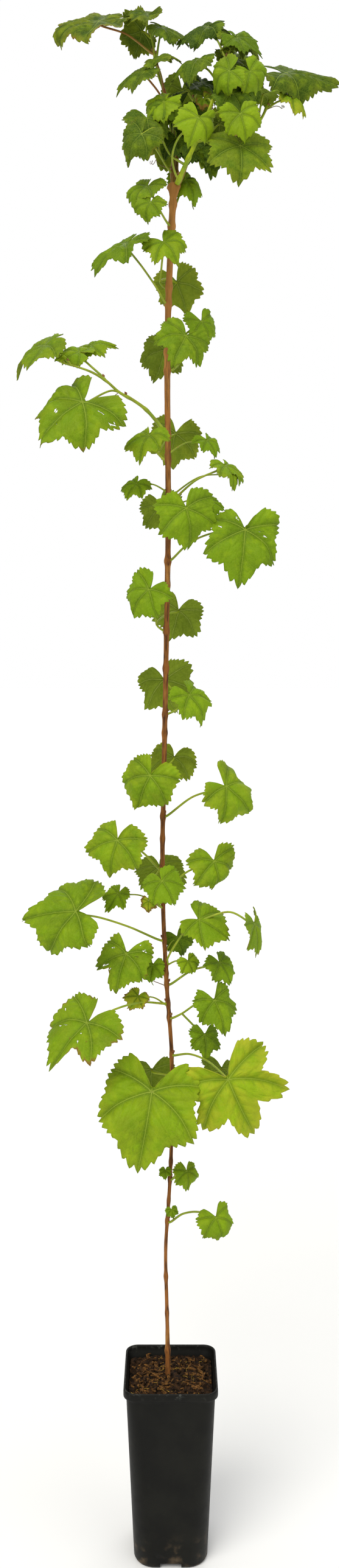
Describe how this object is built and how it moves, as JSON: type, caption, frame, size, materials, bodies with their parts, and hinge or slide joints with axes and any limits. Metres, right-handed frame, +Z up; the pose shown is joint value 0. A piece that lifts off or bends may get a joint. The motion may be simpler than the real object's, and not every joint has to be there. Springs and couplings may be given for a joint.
{
  "type": "potted grapevine",
  "caption": "Tall young grapevine in a square nursery pot: one woody stem from the compost up to a knot of green shoots, with lobed leaves on thin stalks all the way up.",
  "frame": {"origin": "centre of the flat underside of the pot", "axes": "+Z up along the stem, -Y towards the front, +X to the right"},
  "size_m": [0.4025, 0.2028, 1.8802],
  "materials": {
    "pot": "satin",
    "compost": "matte",
    "bark": "matte",
    "green_shoot": "satin",
    "leaf": "satin"
  },
  "bodies": {
    "root": {"pot": "pot", "soil": "compost", "stem": "bark", "leader": "green_shoot", "front_shoot": "green_shoot", "far_shoot": "green_shoot", "back_shoot": "green_shoot", "side_shoot": "green_shoot", "back_shoot_leaf_01": "leaf", "back_shoot_leaf_02": "leaf", "back_shoot_leaf_03": "leaf", "far_shoot_leaf_01": "leaf", "far_shoot_leaf_02": "leaf", "far_shoot_leaf_03": "leaf", "far_shoot_leaf_04": "leaf", "front_shoot_leaf_01": "leaf", "front_shoot_leaf_02": "leaf", "front_shoot_leaf_03": "leaf", "front_shoot_leaf_04": "leaf", "front_shoot_leaf_05": "leaf", "front_shoot_leaf_06": "leaf", "front_shoot_leaf_07": "leaf", "leader_leaf_01": "leaf", "leader_leaf_02": "leaf", "leader_leaf_03": "leaf", "leader_leaf_04": "leaf", "leader_leaf_05": "leaf", "leader_leaf_06": "leaf", "leader_leaf_07": "leaf", "side_shoot_leaf_01": "leaf", "side_shoot_leaf_02": "leaf", "side_shoot_leaf_03": "leaf", "stem_leaf_01": "leaf", "stem_leaf_02": "leaf", "stem_leaf_03": "leaf", "stem_leaf_04": "leaf", "stem_leaf_05": "leaf", "stem_leaf_06": "leaf", "stem_leaf_07": "leaf", "stem_leaf_08": "leaf", "stem_leaf_09": "leaf", "stem_leaf_10": "leaf", "stem_leaf_11": "leaf", "stem_leaf_12": "leaf", "stem_leaf_13": "leaf", "stem_leaf_14": "leaf", "stem_leaf_15": "leaf", "stem_leaf_16": "leaf", "stem_leaf_17": "leaf", "stem_leaf_18": "leaf", "stem_leaf_19": "leaf", "stem_leaf_20": "leaf", "stem_leaf_21": "leaf", "stem_leaf_22": "leaf", "stem_leaf_23": "leaf", "stem_leaf_24": "leaf", "stem_leaf_25": "leaf", "stem_leaf_26": "leaf", "stem_leaf_27": "leaf", "stem_leaf_28": "leaf"}
  },
  "joints": []
}
